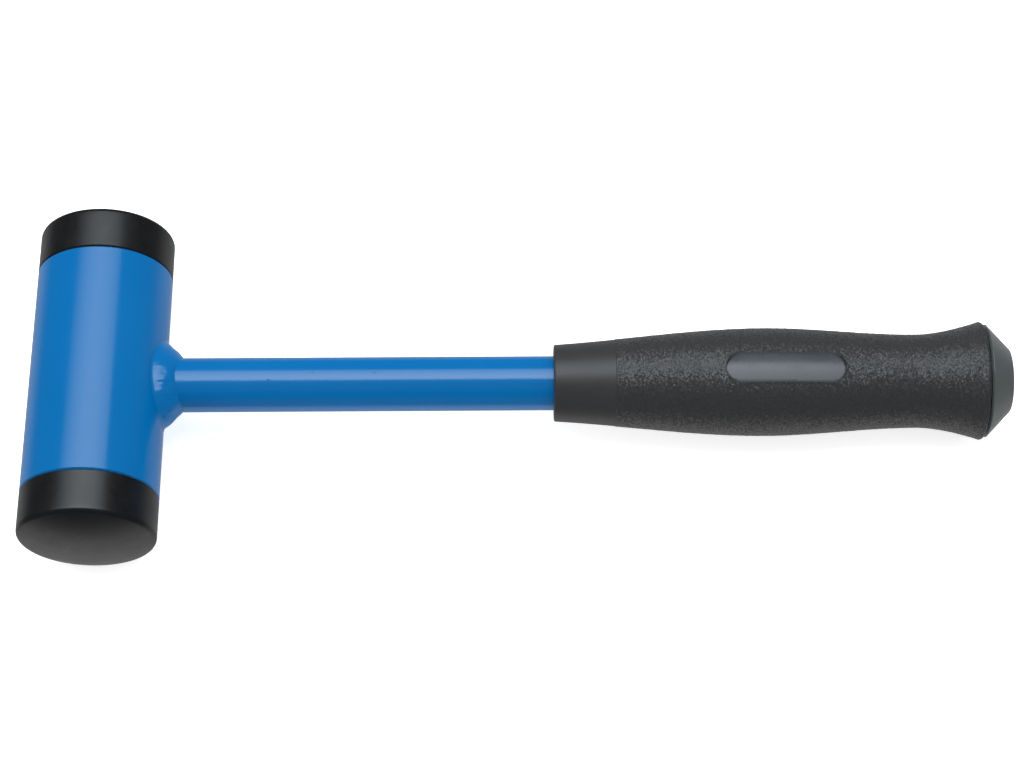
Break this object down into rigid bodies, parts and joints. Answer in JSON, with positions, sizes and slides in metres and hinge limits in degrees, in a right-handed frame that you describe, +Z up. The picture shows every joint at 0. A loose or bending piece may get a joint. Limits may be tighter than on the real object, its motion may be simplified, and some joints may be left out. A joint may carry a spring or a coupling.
{
  "type": "soft face hammer",
  "caption": "No-rebound soft face hammer: blue steel tube head with black plastic striking faces and loose shot inside, welded tube handle, moulded grip with flared butt.",
  "frame": {"origin": "under the middle of the hammer's length, on the surface that it lies on, below the handle's axis", "axes": "+X along the handle from the head to the butt, +Y along the head from the front face to the rear face, +Z up, away from the surface that it lies on"},
  "size_m": [0.2878, 0.106, 0.04],
  "materials": {
    "blue_enamel": "semi-gloss sprayed enamel",
    "black_polyamide": "turned, slightly glossy",
    "bare_steel": "bare",
    "grip_plastic": "moulded with a fine pebble grain",
    "cap_plastic": "smooth moulded, satin"
  },
  "bodies": {
    "hammer": {"head_tube": "blue_enamel", "front_face": "black_polyamide", "rear_face": "black_polyamide", "front_closing_disc": "bare_steel", "rear_closing_disc": "bare_steel", "handle_tube": "blue_enamel", "handle_weld": "blue_enamel", "grip_sleeve": "grip_plastic", "grip_end_cap": "cap_plastic"},
    "shot": {"shot_charge": "bare_steel"}
  },
  "joints": [
    {"name": "shot_slide", "type": "slide", "parent": "hammer", "child": "shot", "axis": [0, 1, 0], "range_m": [-0.0085, 0.0085]}
  ]
}
